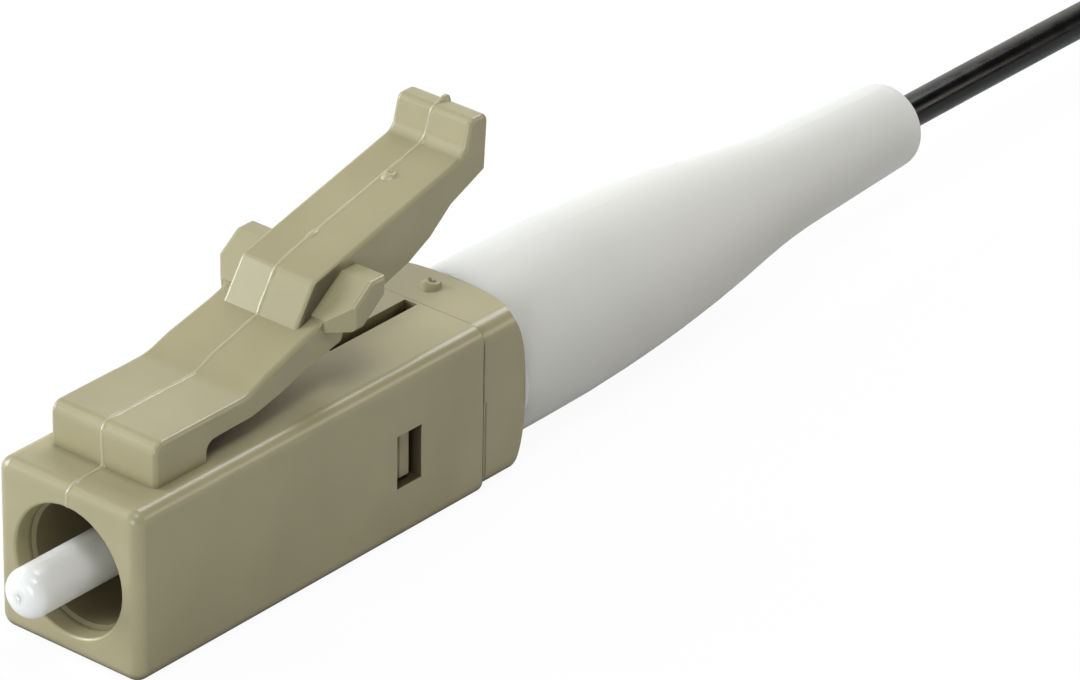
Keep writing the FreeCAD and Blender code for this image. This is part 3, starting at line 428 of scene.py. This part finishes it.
def add_node(tree, kind, settings=None):
    """A node with its settings. A socket takes a plain value, or the node or socket that feeds it."""
    node = tree.nodes.new(kind)
    for name, value in (settings or {}).items():
        if isinstance(value, bpy.types.Node):
            value = value.outputs[0]
        if isinstance(value, bpy.types.NodeSocket):
            tree.links.new(value, node.inputs[name])
        elif isinstance(name, int) or name in node.inputs:
            node.inputs[name].default_value = value
        else:
            setattr(node, name, value)
    return node


def new_material(name):
    """An empty node material and its node tree."""
    material = bpy.data.materials.new(name)
    material.use_nodes = True
    material.node_tree.nodes.clear()
    print("material", name)
    return material, material.node_tree


def per_mm(size_mm):
    """A texture's scale for features of that size, where coordinates are in metres."""
    return 1.0 / (size_mm * MM)


# %% [markdown]
# ## Painted shade in the plastic's narrow places
# Deep in the bore, in its corners and in the joint to the rear cap the beige plastic looks browner in
# shade, because light that enters there is coloured again at each bounce. That shade is painted into the
# plastic's colour. An ambient occlusion node finds most of these places. The rest are found by where they
# lie, in millimetres from the front face's middle. Each painted shade below is a number from 0 to 1 at
# every spot of the surface, the share of brown that the plastic mixes in there.

# %% Helpers for painted shades


def join_masks(tree, operation, masks):
    """One mask from several: MULTIPLY keeps what they share, MAXIMUM the strongest of them."""
    joined = masks[0]
    for mask in masks[1:]:
        joined = add_node(tree, "ShaderNodeMath", {"operation": operation, 0: joined, 1: mask})
    return joined


def band(tree, value, middle, half_width):
    """1 where a value in metres lies in a band given in mm, 0 elsewhere."""
    return add_node(tree, "ShaderNodeMath",
                    {"operation": "COMPARE", 0: value, 1: middle * MM, 2: half_width * MM})


# %% Painted shade in the joint between housing and rear cap
SEAM_AT = 12.2
SEAM_HALF_WIDTH = 0.045
SEAM_CORE = 0.4       # the share of its width that is darkest
SEAM_DARK = 0.55
SEAM_JOG = 0.08       # below its middle the joint sits this much further back
SEAM_JOG_HEIGHT = 0.2
SEAM_WAVER = 0.05
SEAM_WAVE_LENGTH = 0.5
SEAM_CLOSES_FROM = 1.9
SEAM_CLOSED_AT = 2.2


def painted_seam_shade(tree, place, axes):
    """A fine wavering line of painted shade round the joint, which closes up towards the top of the
    housing.
    """
    below = add_node(tree, "ShaderNodeMath",
                     {"operation": "LESS_THAN", 0: axes.outputs["Z"], 1: SEAM_JOG_HEIGHT * MM})
    line = add_node(tree, "ShaderNodeMath",
                    {"operation": "MULTIPLY_ADD", 0: below, 1: SEAM_JOG * MM, 2: SEAM_AT * MM})
    waves = add_node(tree, "ShaderNodeTexNoise",
                     {"Vector": place, "Scale": per_mm(SEAM_WAVE_LENGTH), "Detail": 2.0})
    waver = add_node(tree, "ShaderNodeMath", {"operation": "SUBTRACT", 0: waves.outputs["Fac"], 1: 0.5})
    strayed = add_node(tree, "ShaderNodeMath",
                       {"operation": "MULTIPLY_ADD", 0: waver, 1: SEAM_WAVER * MM, 2: axes.outputs["X"]})
    apart = add_node(tree, "ShaderNodeMath", {"operation": "SUBTRACT", 0: strayed, 1: line})
    distance = add_node(tree, "ShaderNodeMath", {"operation": "ABSOLUTE", 0: apart})
    near = add_node(tree, "ShaderNodeMapRange",
                    {"interpolation_type": "SMOOTHSTEP", "Value": distance,
                     "From Min": SEAM_HALF_WIDTH * SEAM_CORE * MM, "From Max": SEAM_HALF_WIDTH * MM,
                     "To Min": SEAM_DARK, "To Max": 0.0})
    open_yet = add_node(tree, "ShaderNodeMapRange",
                        {"Value": axes.outputs["Z"], "From Min": SEAM_CLOSES_FROM * MM,
                         "From Max": SEAM_CLOSED_AT * MM, "To Min": 1.0, "To Max": 0.0})
    return join_masks(tree, "MULTIPLY", [near, open_yet])


# %% Painted shade on the lever's sides behind the lugs
LUG_DARK = 0.8
LUG_SIDE = 1.21       # the lever's own half width, with the lugs standing out past it
LUG_FACES_SIDEWAYS = 0.75
LUG_DARKENS = (6.5, 6.9)
LUG_FADES = (7.9, 8.5)


def painted_lug_shade(tree, axes, facing):
    """Painted shade on the lever's sides, where a lug stands close by."""
    sideways = add_node(tree, "ShaderNodeMath", {"operation": "ABSOLUTE", 0: facing.outputs["Y"]})
    sideways = add_node(tree, "ShaderNodeMath",
                        {"operation": "GREATER_THAN", 0: sideways, 1: LUG_FACES_SIDEWAYS})
    masks = [sideways, band(tree, axes.outputs["Y"], 0.0, LUG_SIDE)]
    for (first, last), before, after in ((LUG_DARKENS, 0.0, 1.0), (LUG_FADES, LUG_DARK, 0.0)):
        masks.append(add_node(tree, "ShaderNodeMapRange",
                              {"interpolation_type": "SMOOTHSTEP", "Value": axes.outputs["X"],
                               "From Min": first * MM, "From Max": last * MM,
                               "To Min": before, "To Max": after}))
    return join_masks(tree, "MULTIPLY", masks)


# %% Painted shade on the walls of the snap windows
WINDOW_DARK = 0.95
WINDOW_MIDDLE = 9.45
WINDOW_HALF_LENGTH = 0.55
WINDOW_HALF_HEIGHT = 0.95
WINDOW_WALL_MIDDLE = 1.95
WINDOW_WALL_HALF = 0.25
WINDOW_FACES_SIDEWAYS = 0.5


def painted_window_shade(tree, axes, facing):
    """Painted shade on the four narrow walls of each window, which all turn away from the housing's side.
    """
    edgeways = add_node(tree, "ShaderNodeMath",
                        {"operation": "COMPARE", 0: facing.outputs["Y"], 1: 0.0,
                         2: WINDOW_FACES_SIDEWAYS})
    outward = add_node(tree, "ShaderNodeMath", {"operation": "ABSOLUTE", 0: axes.outputs["Y"]})
    in_wall = band(tree, outward, WINDOW_WALL_MIDDLE, WINDOW_WALL_HALF)
    in_length = band(tree, axes.outputs["X"], WINDOW_MIDDLE, WINDOW_HALF_LENGTH)
    in_height = band(tree, axes.outputs["Z"], 0.0, WINDOW_HALF_HEIGHT)
    walls = join_masks(tree, "MULTIPLY", [edgeways, in_wall, in_length, in_height])
    return add_node(tree, "ShaderNodeMath", {"operation": "MULTIPLY", 0: walls, 1: WINDOW_DARK})


# %% Painted shade in the bore past its open mouth, and in narrow places in general
MOUTH_RADIUS = 1.8
MOUTH_DEPTH = 0.42    # light reaches the wall of the bore this far in
BORE_DARK_FROM = 0.56
BORE_DARK = 0.6
GAP_REACH = 2.5       # how far a wall may be for a place to count as closed in
GAP_OPENNESS = (0.05, 0.32)
CREASE_REACH = 0.5    # the same for the corner between two faces
CREASE_OPENNESS = (0.3, 0.7)
CREASE_DARK = 0.85
CAP_JOINT_REACH = 0.3
CAP_JOINT_HEIGHT = 2.0


def closed_in(tree, reach, openness, strength):
    """The painted shade's strength where walls within reach leave little of the sky open, 0 where they
    leave more.
    """
    sky = add_node(tree, "ShaderNodeAmbientOcclusion", {"Distance": reach * MM, "samples": 6})
    return add_node(tree, "ShaderNodeMapRange",
                    {"Value": sky.outputs["AO"], "From Min": openness[0], "From Max": openness[1],
                     "To Min": strength, "To Max": 0.0})


def all_but(tree, mask):
    """1 where a mask is 0, and 0 where it is 1."""
    return add_node(tree, "ShaderNodeMath", {"operation": "SUBTRACT", 0: 1.0, 1: mask})


def bore_mask(tree, place):
    """1 nearer to the ferrule's axis than the housing's mouth is wide, 0 farther out."""
    across = add_node(tree, "ShaderNodeVectorMath", {"operation": "MULTIPLY", 0: place, 1: (0, 1, 1)})
    from_axis = add_node(tree, "ShaderNodeVectorMath", {"operation": "LENGTH", 0: across})
    return add_node(tree, "ShaderNodeMath",
                    {"operation": "LESS_THAN", 0: from_axis.outputs["Value"], 1: MOUTH_RADIUS * MM})


def painted_gap_shade(tree, axes, in_mouth):
    """Painted shade in deep gaps and in corners, but not where the joint is closed nor in the open mouth.
    """
    above = add_node(tree, "ShaderNodeMath",
                     {"operation": "GREATER_THAN", 0: axes.outputs["Z"], 1: CAP_JOINT_HEIGHT * MM})
    by_joint = band(tree, axes.outputs["X"], SEAM_AT, CAP_JOINT_REACH)
    closed_joint = join_masks(tree, "MULTIPLY", [by_joint, above])
    crease = closed_in(tree, CREASE_REACH, CREASE_OPENNESS, CREASE_DARK)
    crease = join_masks(tree, "MULTIPLY", [crease, all_but(tree, closed_joint)])
    deep = join_masks(tree, "MAXIMUM", [closed_in(tree, GAP_REACH, GAP_OPENNESS, 1.0), crease])
    near_front = add_node(tree, "ShaderNodeMath",
                          {"operation": "LESS_THAN", 0: axes.outputs["X"], 1: MOUTH_DEPTH * MM})
    open_wall = join_masks(tree, "MULTIPLY", [in_mouth, near_front])
    return join_masks(tree, "MULTIPLY", [deep, all_but(tree, open_wall)])


def painted_bore_shade(tree, axes, in_mouth):
    """Painted shade down the bore, from just behind its open mouth."""
    down = add_node(tree, "ShaderNodeMapRange",
                    {"interpolation_type": "SMOOTHSTEP", "Value": axes.outputs["X"],
                     "From Min": MOUTH_DEPTH * MM, "From Max": BORE_DARK_FROM * MM,
                     "To Min": 0.0, "To Max": BORE_DARK})
    return join_masks(tree, "MULTIPLY", [in_mouth, down])


# %% [markdown]
# ## Beige moulded plastic
# The housing, the latch and the rear body are injection moulded from a stiff engineering plastic, PBT or
# PEI, coloured beige. The tool is fine-sparked, so the surface is satin: a soft broad highlight with a
# very fine grain in it, and colour that drifts slightly where the melt flowed. The painted shades above
# turn it brown in its narrow places, and down the bore they take the gloss away too, so that no ring
# shines in the dark. The thin flash takes the same recipe in a tone painted paler for the light that goes
# through its edge, and so does the face of the knee that an insert of the mould shuts off against: it is
# smoother there, and its tone is painted lighter to show it lit brighter.

# %% Moulded beige plastic
GRAIN_SIZE = 0.06     # the spark grain is about 0.02 mm and is drawn three times as coarse to show
FLOW_SIZE = 3.0       # the drift of colour over the moulding
PLASTIC_GLOSS = 0.6


def moulded_plastic(name, flow_colours, painted_shade_colour, roughness):
    """Satin plastic whose colour drifts with the melt, with painted shade mixed in its narrow places."""
    material, tree = new_material(name)
    place = add_node(tree, "ShaderNodeTexCoord").outputs["Object"]
    axes = add_node(tree, "ShaderNodeSeparateXYZ", {"Vector": place})
    normal = add_node(tree, "ShaderNodeNewGeometry").outputs["Normal"]
    facing = add_node(tree, "ShaderNodeSeparateXYZ", {"Vector": normal})
    flow = add_node(tree, "ShaderNodeTexNoise",
                    {"Vector": place, "Scale": per_mm(FLOW_SIZE), "Detail": 2.0})
    drift = add_node(tree, "ShaderNodeMapRange", {"Value": flow, "From Min": 0.35, "From Max": 0.65})
    tone = add_node(tree, "ShaderNodeMix", {"data_type": "RGBA", "Factor": drift,
                                            6: linear(flow_colours[0]), 7: linear(flow_colours[1])})
    in_mouth = bore_mask(tree, place)
    painted_in_bore = painted_bore_shade(tree, axes, in_mouth)
    # the strongest of the painted shades decides how much brown is mixed into the colour
    dark = join_masks(tree, "MAXIMUM", [
        painted_gap_shade(tree, axes, in_mouth), painted_in_bore, painted_seam_shade(tree, place, axes),
        painted_lug_shade(tree, axes, facing), painted_window_shade(tree, axes, facing)])
    # the painted shade down the bore also takes the gloss away there
    gloss = add_node(tree, "ShaderNodeMath", {"operation": "SUBTRACT", 0: PLASTIC_GLOSS, 1: painted_in_bore})
    colour = add_node(tree, "ShaderNodeMix", {"data_type": "RGBA", "Factor": dark,
                                              6: tone.outputs[2], 7: linear(painted_shade_colour)})
    grain = add_node(tree, "ShaderNodeTexNoise",
                     {"Vector": place, "Scale": per_mm(GRAIN_SIZE), "Detail": 3.0})
    relief = add_node(tree, "ShaderNodeBump", {"Height": grain, "Strength": 0.12, "Distance": 0.01 * MM})
    shader = add_node(tree, "ShaderNodeBsdfPrincipled",
                      {"Base Color": colour.outputs[2], "Roughness": roughness, "IOR": 1.5,
                       "Specular IOR Level": gloss, "Normal": relief})
    add_node(tree, "ShaderNodeOutputMaterial", {"Surface": shader})
    return material


beige_plastic = moulded_plastic("moulded_beige_plastic", ("#A9A07C", "#B1A884"), "#4A412E", 0.32)
# the knee's shut-off face: smoother, and its tone painted lighter to show it lit brighter
shut_off_painted_lighter = moulded_plastic("polished_shut_off_painted_lighter", ("#B6AE8E", "#BDB596"), "#4A412E", 0.28)
# the flash's tone is painted paler, for the light that goes through its thin edge
flash_painted_lighter = moulded_plastic("flash_edge_painted_lighter", ("#B3AA87", "#BBB28F"), "#8A8263", 0.28)

# %% [markdown]
# ## Ferrule ceramic
# The ferrule is zirconia, sintered and ground to a few tenths of a micrometre. It is a warm white, quite
# glossy, and light goes a little way into it, so its edges glow softly instead of turning grey.

# %% Ground zirconia
ZIRCONIA_CLOUD = 0.8
ZIRCONIA_GLOW = 0.5   # how deep light goes into the ceramic

zirconia, tree = new_material("ground_zirconia")
place = add_node(tree, "ShaderNodeTexCoord").outputs["Object"]
cloud = add_node(tree, "ShaderNodeTexNoise",
                 {"Vector": place, "Scale": per_mm(ZIRCONIA_CLOUD), "Detail": 2.0})
white = add_node(tree, "ShaderNodeMix",
                 {"data_type": "RGBA", "Factor": cloud, 6: linear("#FDFAEE"), 7: linear("#FFFDF3")})
shader = add_node(tree, "ShaderNodeBsdfPrincipled",
                  {"Base Color": white.outputs[2], "Roughness": 0.28, "IOR": 1.7,
                   "Subsurface Weight": 0.8, "Subsurface Scale": ZIRCONIA_GLOW * MM,
                   "Subsurface Radius": (1.0, 0.95, 0.85)})
add_node(tree, "ShaderNodeOutputMaterial", {"Surface": shader})

# %% [markdown]
# ## Boot elastomer
# The boot is a soft thermoplastic elastomer moulded in one piece. It has no gloss to speak of: a matte
# white skin with a fine powdery grain. Light goes further into it than into the ferrule, which softens
# its shaded side.

# %% Matte white elastomer
POWDER_GRAIN = 0.08
BOOT_BLOTCH = 4.0
BOOT_GLOW = 1.6       # how deep light goes into the boot

boot_skin, tree = new_material("matte_white_elastomer")
place = add_node(tree, "ShaderNodeTexCoord").outputs["Object"]
blotch = add_node(tree, "ShaderNodeTexNoise",
                  {"Vector": place, "Scale": per_mm(BOOT_BLOTCH), "Detail": 2.0})
tint = add_node(tree, "ShaderNodeMix",
                {"data_type": "RGBA", "Factor": blotch, 6: linear("#E4E3DB"), 7: linear("#E9E8E1")})
powder = add_node(tree, "ShaderNodeTexNoise",
                  {"Vector": place, "Scale": per_mm(POWDER_GRAIN), "Detail": 3.0})
relief = add_node(tree, "ShaderNodeBump", {"Height": powder, "Strength": 0.1, "Distance": 0.01 * MM})
shader = add_node(tree, "ShaderNodeBsdfPrincipled",
                  {"Base Color": tint.outputs[2], "Roughness": 0.62, "IOR": 1.45,
                   "Subsurface Weight": 0.85, "Subsurface Scale": BOOT_GLOW * MM,
                   "Subsurface Radius": (1.0, 1.0, 1.0), "Normal": relief})
add_node(tree, "ShaderNodeOutputMaterial", {"Surface": shader})

# %% [markdown]
# ## Fibre jacket
# The jacket is black PVC extruded round the glass through a polished die, so it is smooth and shiny. It
# isn't shiny to the same degree everywhere, and a soft noise in its roughness breaks the highlight up.

# %% Black extruded jacket
JACKET_PATCH = 0.7

black_jacket, tree = new_material("black_extruded_jacket")
place = add_node(tree, "ShaderNodeTexCoord").outputs["Object"]
patch = add_node(tree, "ShaderNodeTexNoise",
                 {"Vector": place, "Scale": per_mm(JACKET_PATCH), "Detail": 2.0})
sheen = add_node(tree, "ShaderNodeMapRange",
                 {"Value": patch, "From Min": 0.3, "From Max": 0.7, "To Min": 0.2, "To Max": 0.3})
shader = add_node(tree, "ShaderNodeBsdfPrincipled",
                  {"Base Color": linear("#0B0B0C"), "Specular IOR Level": 0.3, "IOR": 1.5,
                   "Roughness": sheen})
add_node(tree, "ShaderNodeOutputMaterial", {"Surface": shader})

# %% [markdown]
# ## Inner pieces
# The flange is turned nickel-plated brass, the spring is drawn stainless wire and the guide tube is plain
# natural plastic. They sit in the dark of the housing, so each gets a simple but true finish: turning
# leaves rings round the brass and drawing leaves a fine unevenness on the wire, and both show only as a
# change in how dull the metal is.

# %% Plated brass, spring wire, natural plastic and glass
TURNING_PITCH = 0.4
DRAWN_GRAIN = 0.15
TUBE_HAZE = 0.5


def worked_metal(name, colour, pattern, marks, dullness):
    """A metal that is duller in some of the marks that its making left."""
    metal, tree = new_material(name)
    place = add_node(tree, "ShaderNodeTexCoord").outputs["Object"]
    left = add_node(tree, pattern, {"Vector": place, **marks})
    dull = add_node(tree, "ShaderNodeMapRange",
                    {"Value": left.outputs["Fac"], "To Min": dullness[0], "To Max": dullness[1]})
    shader = add_node(tree, "ShaderNodeBsdfPrincipled",
                      {"Base Color": linear(colour), "Metallic": 1.0, "Roughness": dull})
    add_node(tree, "ShaderNodeOutputMaterial", {"Surface": shader})
    return metal


plated_brass = worked_metal("plated_brass", "#C9C4B8", "ShaderNodeTexWave",
                            {"Scale": per_mm(TURNING_PITCH), "Distortion": 0.4, "bands_direction": "X"},
                            (0.24, 0.36))
spring_wire = worked_metal("drawn_spring_wire", "#B9B9B6", "ShaderNodeTexNoise",
                           {"Scale": per_mm(DRAWN_GRAIN)}, (0.22, 0.34))

natural_plastic, tree = new_material("natural_plastic_tube")
place = add_node(tree, "ShaderNodeTexCoord").outputs["Object"]
haze = add_node(tree, "ShaderNodeTexNoise", {"Vector": place, "Scale": per_mm(TUBE_HAZE)})
milk = add_node(tree, "ShaderNodeMix",
                {"data_type": "RGBA", "Factor": haze, 6: linear("#D9D8D2"), 7: linear("#E4E3DB")})
shader = add_node(tree, "ShaderNodeBsdfPrincipled", {"Base Color": milk.outputs[2], "Roughness": 0.4})
add_node(tree, "ShaderNodeOutputMaterial", {"Surface": shader})

optical_glass, tree = new_material("polished_fibre_end")
shader = add_node(tree, "ShaderNodeBsdfPrincipled",
                  {"Base Color": linear("#FAF8EE"), "Roughness": 0.28, "IOR": 1.46})
add_node(tree, "ShaderNodeOutputMaterial", {"Surface": shader})

# %% Give each piece its finish
finishes = {
    "front_housing": beige_plastic, "rear_body": beige_plastic,
    "ferrule": zirconia, "ferrule_flange": plated_brass, "guide_tube": natural_plastic,
    "glass_fibre": optical_glass, "boot": boot_skin,
    "fibre_in_boot": black_jacket, "hank_tie": black_jacket,
}
for node_name, finish in finishes.items():
    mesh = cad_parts[node_name].data
    mesh.materials.clear()
    mesh.materials.append(finish)
for piece, finish in ((buffered_fibre, black_jacket), (latch_skin, beige_plastic),
                      (latch_skin, shut_off_painted_lighter), (spring_coils, spring_wire),
                      (flash_line, flash_painted_lighter), (lever_gate, flash_painted_lighter),
                      (cap_gate, beige_plastic)):
    piece.data.materials.append(finish)

# %% [markdown]
# ## Table and light
# The plug is shown on a plain white table. The table is a large sheet at the height of the housing's
# underside. To the camera it is mixed with a plain white glow, which keeps the background clean and
# still lets the soft shadow show.

# %% Table
TABLE_HALF_SIDE = 1500.0
GLOW_SHARE = 0.9
GLOW_STRENGTH = 1.05

table_mesh = bpy.data.meshes.new("table")
table_bm = bmesh.new()
bmesh.ops.create_grid(table_bm, x_segments=1, y_segments=1, size=TABLE_HALF_SIDE * MM)
bmesh.ops.translate(table_bm, verts=table_bm.verts, vec=mm(0, 0, TABLE_HEIGHT))
table_bm.to_mesh(table_mesh)
table_bm.free()
table = put_in_scene("table", table_mesh)

white_table, tree = new_material("white_table")
ray = add_node(tree, "ShaderNodeLightPath")
share = add_node(tree, "ShaderNodeMath",
                 {"operation": "MULTIPLY", 0: ray.outputs["Is Camera Ray"], 1: GLOW_SHARE})
paint = add_node(tree, "ShaderNodeBsdfDiffuse", {"Color": linear("#CCCCCC")})
glow = add_node(tree, "ShaderNodeEmission", {"Color": linear("#FFFFFF"), "Strength": GLOW_STRENGTH})
mixed = add_node(tree, "ShaderNodeMixShader", {0: share, 1: paint, 2: glow})
add_node(tree, "ShaderNodeOutputMaterial", {"Surface": mixed})
table_mesh.materials.append(white_table)

# %% [markdown]
# ## Lamps
# Large soft lamps stand round the plug, as in a light tent: one above, one behind and one to the left
# for the tops and sides, two low ones for the left and the front, a broad pale screen behind, and a
# small one to the right that brings out the edges there. The sky adds only a trace.

# %% Lights
LAMPS_AIM_AT = (14, 0, 0)


def soft_light(name, place_mm, size_mm, power, colour):
    """A square area light that looks at the middle of the plug."""
    data = bpy.data.lights.new(name, "AREA")
    data.size = size_mm * MM
    data.energy = power
    data.color = linear(colour)[:3]
    lamp = put_in_scene(name, data)
    lamp.location = mm(*place_mm)
    aim = mm(*LAMPS_AIM_AT) - lamp.location
    lamp.rotation_euler = aim.to_track_quat("-Z", "Y").to_euler()
    print(name, round(aim.length / MM), "mm away")


soft_light("top_light", (-60, -90, 275), 110, 0.27, "#F8FBFF")
soft_light("rear_light", (188, 44, 226), 110, 0.30, "#F8FBFF")
soft_light("left_light", (-40, 230, 180), 120, 0.14, "#F8FBFF")
soft_light("low_left_light", (-115, 255, 80), 150, 0.66, "#F4FAFF")
soft_light("low_front_light", (-270, -60, 70), 130, 0.36, "#F6FBFF")
soft_light("rear_screen", (240, 200, 80), 250, 0.21, "#FFFBF3")
soft_light("edge_light", (210, -191, 93), 80, 0.10, "#FFF6EC")

# %% Sky and view
world = bpy.data.worlds.new("studio")
world.use_nodes = True
tree = world.node_tree
tree.nodes.clear()
sky = add_node(tree, "ShaderNodeBackground", {"Color": linear("#FFF8F0"), "Strength": 0.06})
add_node(tree, "ShaderNodeOutputWorld", {"Surface": sky})
bpy.context.scene.world = world
bpy.context.scene.view_settings.view_transform = "Standard"
